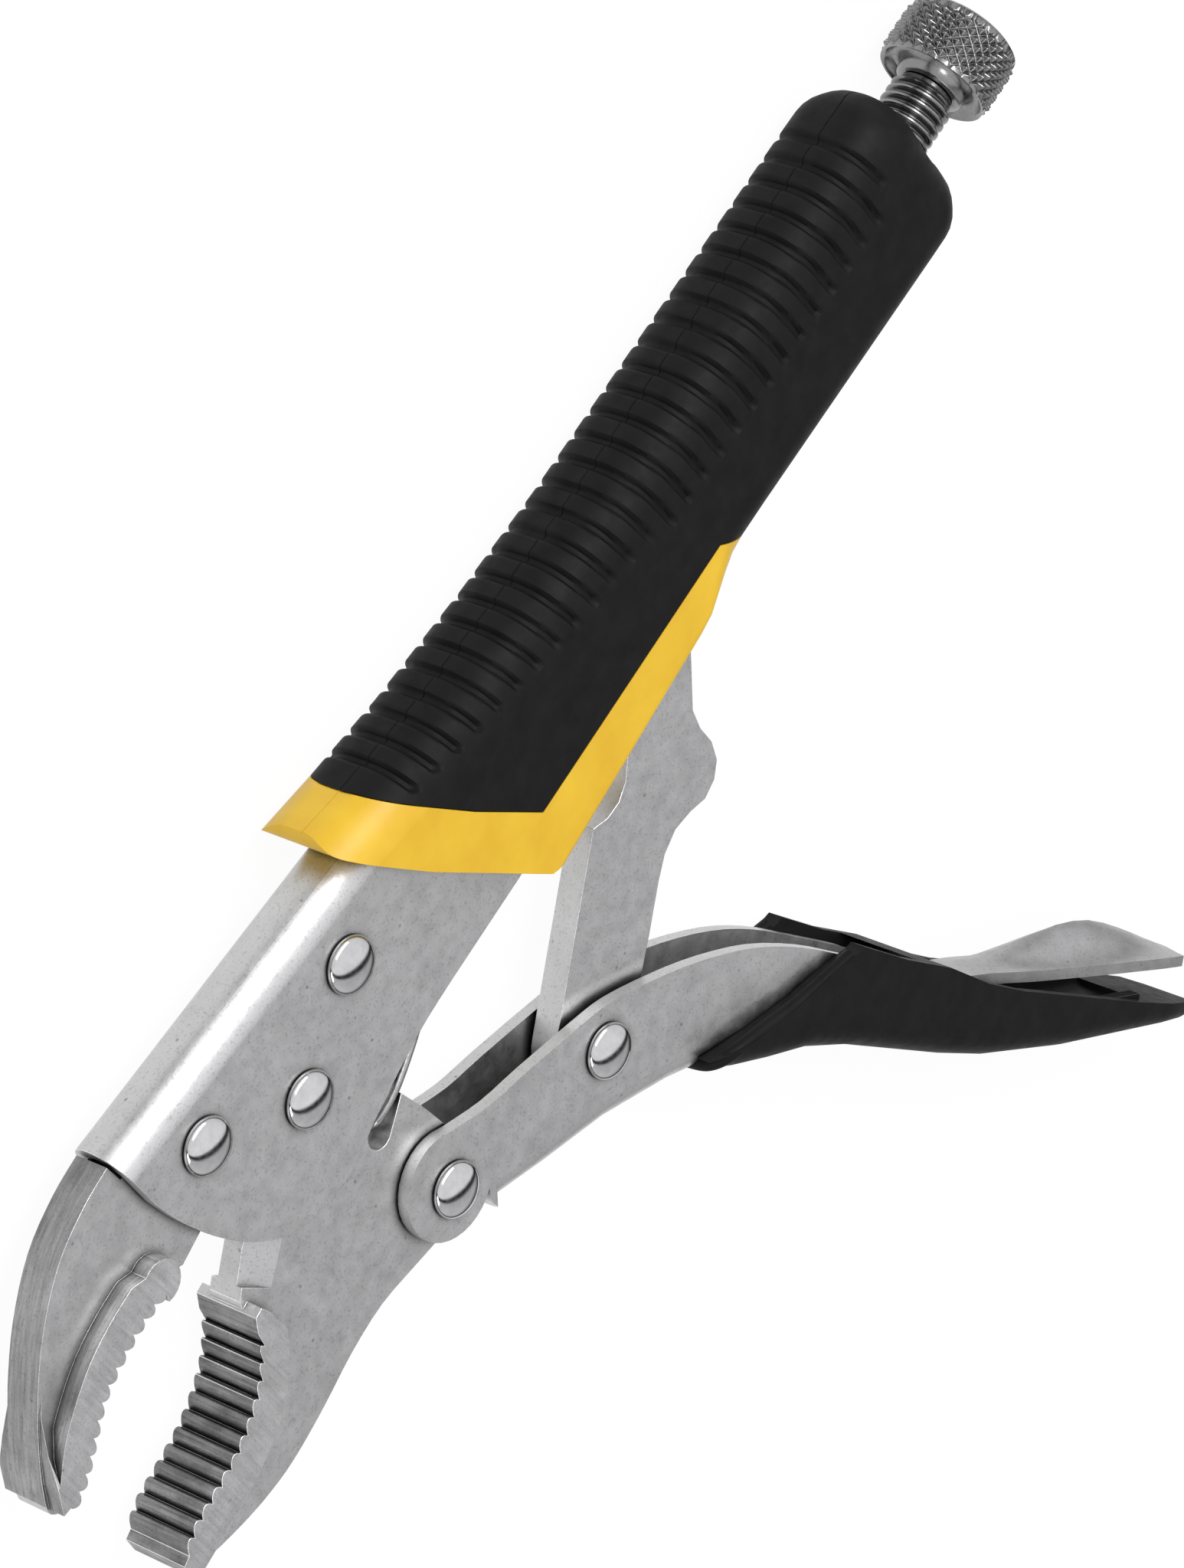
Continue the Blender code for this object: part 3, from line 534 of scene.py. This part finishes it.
def round_front(obj):
    """Round the collar's outer front edge well."""
    mesh = obj.data
    front = [Vector(p) for p in LINER_FRONT]
    weights = mesh.attributes.new("bevel_weight_edge", "FLOAT", "EDGE")
    for edge in mesh.edges:
        ends = [(mesh.vertices[i].co - ORIGIN) / MM for i in edge.vertices]
        middle = (ends[0] + ends[1]) * 0.5
        distance = min((Vector(middle.xy) - a.lerp(b, t / 8.0)).length
                       for a, b in zip(front, front[1:]) for t in range(9))
        outside = abs(middle.z) > 6.4 or middle.y > interpolate(SPINE_TOP, middle.x) + 1.6
        weights.data[edge.index].value = 1.0 if distance < 0.8 and outside else 0.0
    bevel = obj.modifiers.new("front", "BEVEL")
    bevel.width = FRONT_ROUND * MM
    bevel.segments = 5
    bevel.limit_method = "WEIGHT"
    obj.modifiers.new("normals", "WEIGHTED_NORMAL").keep_sharp = True


# ---------------------------------------------------------------- screw, knob, rivets, lip and spring

SCREW_R = 5.0
SCREW_START_X, SCREW_END_X = 36.0, 108.4
THREAD_END_X = 107.0
THREAD_PITCH = 1.5
THREAD_DEPTH = 0.85
KNOB_R = 9.0
KNURL_LINES = 26
KNURL_PITCH = 1.75
KNURL_DEPTH = 0.75
KNURL_MARGIN = 0.55                # from the knob's front edge to the first ring of the knurl
KNOB_START_X = 109.8


def build_screw():
    """A threaded rod: the radius follows one helical ridge."""
    segments, step = 48, 0.15
    start, end = SCREW_START_X, SCREW_END_X
    rings = []
    count = int((end - start) / step)
    for i in range(count + 1):
        x = lerp(start, end, i / count)
        thread = smoothstep(start, start + 1.2, x)
        thread *= 1.0 - smoothstep(THREAD_END_X, THREAD_END_X + 0.8, x)
        ring = []
        for k in range(segments):
            turn = k / segments
            phase = (x / THREAD_PITCH - turn) % 1.0
            ridge = 1.0 - abs(2.0 * phase - 1.0)
            depth = THREAD_DEPTH * (1.0 - smoothstep(0.12, 0.8, ridge))
            radius = lerp(SCREW_R - THREAD_DEPTH, SCREW_R - depth, thread)
            angle = 2.0 * math.pi * turn
            ring.append((x, radius * math.cos(angle), radius * math.sin(angle)))
        rings.append(ring)
    screw = object_from("adjusting_screw_threaded", loft(rings), [dark_nickel], "adjusting_screw", 60.0)
    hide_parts("adjusting_screw")


def build_knob():
    """Diamond-knurled knob with a hollow underside round a short hub."""
    segments = 16 * KNURL_LINES
    step = KNURL_PITCH / 16.0
    start, end = KNOB_START_X, KNOB_FACE_X
    profile = [(0.0, start - 1.2), (4.9, start - 1.2), (5.3, start - 0.9), (5.5, start + 0.3),
               (5.9, start + 1.2), (6.5, start + 1.6), (7.3, start + 1.2), (7.9, start + 0.5),
               (8.2, start), (8.5, start)]
    count = int((end - start - 1.9) / step)
    knurl = [(KNOB_R, start + KNURL_MARGIN + step * i) for i in range(count + 1)]
    cap = [(KNOB_R - 0.45, end - 0.6), (KNOB_R - 1.3, end), (5.4, end), (5.0, end - 0.35),
           (0.0, end - 0.35)]
    bm = bmesh.new()
    rings = []
    for radius, x in profile + knurl + cap:
        ring = []
        for k in range(segments if radius > 0.0 else 1):
            angle = 2.0 * math.pi * k / segments
            depth = 0.0
            if radius == KNOB_R:
                lines = KNURL_LINES * k / segments
                along = (x - start - KNURL_MARGIN) / KNURL_PITCH
                a = abs((lines + along) % 1.0 - 0.5)
                b = abs((lines - along) % 1.0 - 0.5)
                depth = KNURL_DEPTH * max(1.0 - 2.3 * a, 1.0 - 2.3 * b, 0.0)
                edge = min(x - knurl[0][1], knurl[-1][1] - x)
                depth = max(depth, 0.5 * (1.0 - smoothstep(0.0, 0.45, edge)))
            here = radius - depth
            ring.append(bm.verts.new((x, here * math.cos(angle), here * math.sin(angle))))
        rings.append(ring)
    skin(bm, rings, segments)
    knob = object_from("knurled_knob_turned", bm, [dark_nickel], "knob", 75.0)
    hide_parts("knurled_knob")


def build_rivet(node, body):
    """Domed rivet heads on a shank, with a thin flat edge under the dome."""
    low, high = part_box(node)
    centre = ((low + high) * 0.5 - ORIGIN) / MM
    seat, rise, radius, shank = HEAD_HALF + SEAT, 1.9, 4.3, 3.0
    dome = []
    for i in range(0, 19):
        angle = math.radians(5.0 * i)
        dome.append((radius * math.cos(angle), seat + 0.32 + (rise - 0.32) * math.sin(angle)))
    dome[-1] = (0.0, seat + rise)
    half = [(shank, seat), (radius - 0.12, seat), (radius, seat + 0.12)] + dome
    profile = [(r, -h) for r, h in reversed(half)] + half
    rivet = object_from(node + "_domed", turned(profile, 96, (centre.x, centre.y)), [mirror], body, 50.0)
    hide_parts(node)


# The rounded lip round the front of the lever's grip, near side; the far side mirrors it
LIP_R = 1.15
LIP = [(11.0, -80.6, 8.2), (6.6, -78.9, 8.3), (0.0, -76.4, 8.3), (-7.0, -73.0, 8.3), (-12.6, -70.6, 8.0),
       (-15.6, -69.9, 6.4), (-16.6, -69.8, 3.4)]


def build_grip_lip():
    route = curve_through(LIP + [(x, y, -z) for x, y, z in reversed(LIP)], 5)
    object_from("lever_grip_lip", swept(route, LIP_R, 16), [black], "lever", 60.0)


# The return spring: a hook on the jaw's pin, a close coil and a tail up to the handle's anchor
SPRING_HOOK = [(-58.9, -23.0, -1.6), (-58.6, -22.5, 0.2), (-57.2, -21.8, 1.5), (-53.0, -20.5, 2.2),
               (-46.0, -17.8, 2.2)]
SPRING_START, SPRING_END = (-40.0, -14.6), (-14.0, -3.6)
SPRING_ANCHOR = [(-11.6, -2.4, 1.8), (-7.4, 0.4, 1.0), (-4.6, 3.6, 0.2), (-3.4, 6.2, 0.0)]
SPRING_TURNS, COIL_R, WIRE_R = 15, 2.2, 0.7


def build_spring():
    """Hook, coil and tail in one wire; the coil turns about the line between its two ends."""
    along = Vector((SPRING_END[0] - SPRING_START[0], SPRING_END[1] - SPRING_START[1], 0.0))
    side = Vector((-along.y, along.x, 0.0)).normalized()
    coil = []
    count = SPRING_TURNS * 20
    for i in range(count + 1):
        angle = 2.0 * math.pi * i / 20.0 + 0.5 * math.pi
        place = Vector((*SPRING_START, 0.0)) + along * (i / count) + side * COIL_R * math.cos(angle)
        coil.append((place.x, place.y, COIL_R * math.sin(angle)))
    front = curve_through(SPRING_HOOK + [coil[0]], 5)[:-1]
    rear = curve_through([coil[-1]] + SPRING_ANCHOR, 5)[1:]
    bm = swept(front + coil + rear, WIRE_R, 10)
    spring = object_from("return_spring_wire", bm, [wire], None, 60.0)
    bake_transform(spring)
    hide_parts("return_spring")


# ---------------------------------------------------------------- camera, light and floor

VIEW_TILT = math.radians(50.0)     # angle of the tool's side plane from the picture plane
VIEW_TURN = math.radians(19.3)
VIEW_ROLL = math.radians(68.5)
VIEW_TARGET = (0.0, -22.1, 0.0)
VIEW_DISTANCE = 967.7
LENS = 158.28
GAP_AXIS = (0.557, 0.666, 0.496)   # across the dark gap between the two light panels
LIGHT_TARGET = (0.0, -40.0, 0.0)
SKY_STRENGTH = 1.15
FLOOR_DROP = 0.5


def view_axes():
    """The camera's right, up and backward directions in the tool's frame."""
    st, ct = math.sin(VIEW_TILT), math.cos(VIEW_TILT)
    sp, cp = math.sin(VIEW_TURN), math.cos(VIEW_TURN)
    sr, cr = math.sin(VIEW_ROLL), math.cos(VIEW_ROLL)
    side = Vector((ct * cp, ct * sp, st))
    cross = Vector((sp, -cp, 0.0))
    normal = Vector((st * cp, st * sp, -ct))
    x_axis = side * cr + cross * sr
    y_axis = cross * cr - side * sr
    right = Vector((x_axis.x, y_axis.x, normal.x))
    down = Vector((x_axis.y, y_axis.y, normal.y))
    forward = Vector((x_axis.z, y_axis.z, normal.z))
    return right, -down, -forward


def add_camera():
    right, up, back = view_axes()
    data = bpy.data.cameras.new("camera")
    data.lens = LENS
    data.sensor_fit = "VERTICAL"
    data.sensor_height = 36.0
    data.clip_start = 0.05
    data.clip_end = 20.0
    camera = bpy.data.objects.new("camera", data)
    bpy.context.scene.collection.objects.link(camera)
    turn = Matrix((right, up, back)).transposed().to_4x4()
    camera.matrix_world = Matrix.Translation(to_world(VIEW_TARGET) + back * VIEW_DISTANCE * MM) @ turn
    bpy.context.scene.camera = camera


def area_light(name, direction, distance, size, power):
    """A rectangular panel aimed at the tool, its long side along the screw."""
    data = bpy.data.lights.new(name, "AREA")
    data.shape = "RECTANGLE"
    data.size, data.size_y = size
    data.energy = power
    light = bpy.data.objects.new(name, data)
    bpy.context.scene.collection.objects.link(light)
    aim = Vector(direction).normalized()
    light.location = to_world(LIGHT_TARGET) + aim * distance
    across = Vector((1.0, 0.0, 0.0))
    across = (across - aim * across.dot(aim)).normalized()
    light.rotation_euler = Matrix((across, aim.cross(across), aim)).transposed().to_euler()


def add_floor():
    """White paper under the tool that glows, so it stays white with only a faint shadow."""
    n = Nodes("floor_paper")
    n.shader.inputs["Base Color"].default_value = (0.9, 0.9, 0.9, 1.0)
    n.shader.inputs["Roughness"].default_value = 0.9
    glow = n.tree.nodes.new("ShaderNodeEmission")
    glow.inputs["Strength"].default_value = 1.0
    blend = n.tree.nodes.new("ShaderNodeMixShader")
    blend.inputs["Fac"].default_value = 0.95
    n.link(n.shader.outputs[0], blend.inputs[1])
    n.link(glow.outputs[0], blend.inputs[2])
    n.link(blend.outputs[0], n.tree.nodes["Material Output"].inputs["Surface"])
    bm = bmesh.new()
    bmesh.ops.create_grid(bm, x_segments=1, y_segments=1, size=3.0)
    mesh = bpy.data.meshes.new("floor")
    bm.to_mesh(mesh)
    bm.free()
    mesh.materials.append(n.material)
    floor = bpy.data.objects.new("floor", mesh)
    floor.location.z = -FLOOR_DROP * MM
    bpy.context.scene.collection.objects.link(floor)


def add_world():
    """A soft white tent: dark towards the horizon and with a narrow dark gap between two panels."""
    world = bpy.data.worlds.new("studio")
    world.use_nodes = True
    tree = world.node_tree
    coords = tree.nodes.new("ShaderNodeTexCoord").outputs["Generated"]

    def along(direction, stops):
        dot = tree.nodes.new("ShaderNodeVectorMath")
        dot.operation = "DOT_PRODUCT"
        dot.inputs[1].default_value = direction
        tree.links.new(coords, dot.inputs[0])
        span = tree.nodes.new("ShaderNodeMapRange")
        span.inputs["From Min"].default_value = -1.0
        tree.links.new(dot.outputs["Value"], span.inputs["Value"])
        ramp = tree.nodes.new("ShaderNodeValToRGB")
        while len(ramp.color_ramp.elements) < len(stops):
            ramp.color_ramp.elements.new(0.5)
        for element, (place, tone) in zip(ramp.color_ramp.elements, stops):
            element.position = place
            element.color = (tone, tone, tone * 1.01, 1.0)
        tree.links.new(span.outputs["Result"], ramp.inputs["Fac"])
        return ramp.outputs["Color"]

    height = along((0.0, 0.0, 1.0), [(0.46, 0.12), (0.56, 0.10), (0.66, 0.80), (0.9, 0.95)])
    gap = along(GAP_AXIS, [(0.2, 0.85), (0.44, 0.6), (0.475, 0.05), (0.515, 0.03), (0.55, 1.05), (0.9, 1.0)])
    blend = tree.nodes.new("ShaderNodeMix")
    blend.data_type = "RGBA"
    blend.blend_type = "MULTIPLY"
    blend.inputs[0].default_value = 1.0
    tree.links.new(height, blend.inputs[6])
    tree.links.new(gap, blend.inputs[7])
    tree.links.new(blend.outputs[2], tree.nodes["Background"].inputs["Color"])
    tree.nodes["Background"].inputs["Strength"].default_value = SKY_STRENGTH
    bpy.context.scene.world = world


add_camera()
add_floor()
add_world()
area_light("strip", (0.28, 0.59, 0.76), 1.5, (1.6, 0.42), 18.0)
area_light("left", (-0.9, 0.1, 0.45), 1.4, (0.4, 0.8), 3.0)
bpy.context.scene.view_settings.view_transform = "Standard"

plate = steel("satin_plated_steel", 0.60, 0.54, 0.34, 0.46, 0.35)
forging = steel("satin_plated_forging", 0.59, 0.51, 0.34, 0.48, 0.45)
brushed = steel("brushed_dark_back", 0.40, 0.28, 0.28, 0.42, 0.3, 0.3, 0.6, (0.06, 0.10, 1.0))
ground = steel("ground_side_face", 0.68, 0.60, 0.34, 0.46, 0.3, 0.3, 0.3, (1.0, 0.05, 1.0))
tab = steel("satin_release_tab", 0.47, 0.38, 0.34, 0.48, 0.45)
# Edge wear and a painted highlight: the broken edges get brighter, glossier steel than the flats.
worn_edge_and_highlight = steel("worn_edge_painted_highlight", 0.88, 0.60, 0.20, 0.32, 0.7, 0.25)
# The cut teeth get darker steel than the flats.
tooth = steel("dark_cut_teeth", 0.36, 0.15, 0.25, 0.4, 0.8, 0.3, 0.8)
mirror = polished("polished_rivet", 0.58, 0.10)
dark_nickel = polished("dark_nickel", 0.27, 0.24)
wire = polished("spring_wire", 0.42, 0.25)
black = rubber("black_rubber")
yellow = yellow_plastic("yellow_plastic")


HEAD_SIDE = 5.5                    # the head's ground sides lie beyond this on both sides


def upper_jaw_face(centre, normal):
    """Material slot of a face: 2 on the brushed back, 3 on the ground sides of the head."""
    if abs(normal.z) > 0.9:
        return 3 if abs(centre.z) > HEAD_SIDE else 0
    back = centre.x < -88.0 and normal.y - 1.2 * normal.x > 0.3 and centre.y > -7.5
    return 2 if back and abs(normal.z) < 0.3 else 0


def lower_jaw_face(centre, normal):
    """Material slot of a face: 2 on the cut teeth, 3 on the ground sides of the head."""
    if abs(normal.z) > 0.9:
        return 3 if abs(centre.z) > HEAD_SIDE else 0
    cut = centre.x < -91.4 and centre.y > -36.5 and normal.y > -0.75
    return 2 if cut and abs(normal.z) < 0.3 else 0


def lever_face(centre, normal):
    """Slot 2, the black rubber, goes on the lever's faces behind the release lever's pin and makes the
    trough there black.
    """
    return 2 if centre.x > 17.0 else 0


dressed("frame", "fixed_handle", [plate, worn_edge_and_highlight], 0.3)
dressed("lever", "lever", [plate, worn_edge_and_highlight, black], 0.35, 3, lever_face)
dressed("toggle_link", "toggle_link", [plate, worn_edge_and_highlight], 0.25)
dressed("upper_jaw", "fixed_handle", [forging, worn_edge_and_highlight, brushed, ground], 0.45, 3, upper_jaw_face)
dressed("lower_jaw", "lower_jaw", [forging, worn_edge_and_highlight, tooth, ground], 0.18, 2, lower_jaw_face)
dressed("release_lever", "release_lever", [tab, worn_edge_and_highlight], 0.25)
dressed("lever_grip", "lever", [black], 0.8, 4)
dressed("release_pin", "lever", [dark_nickel], 0.2)
build_grip_cover()
build_grip_liner()
build_screw()
build_knob()
build_spring()
build_grip_lip()
for node, body in (("front_jaw_rivet", "fixed_handle"), ("rear_jaw_rivet", "fixed_handle"),
                   ("jaw_pivot_rivet", "fixed_handle"), ("lever_pivot_rivet", "lower_jaw"),
                   ("link_pivot_rivet", "lever")):
    build_rivet(node, body)
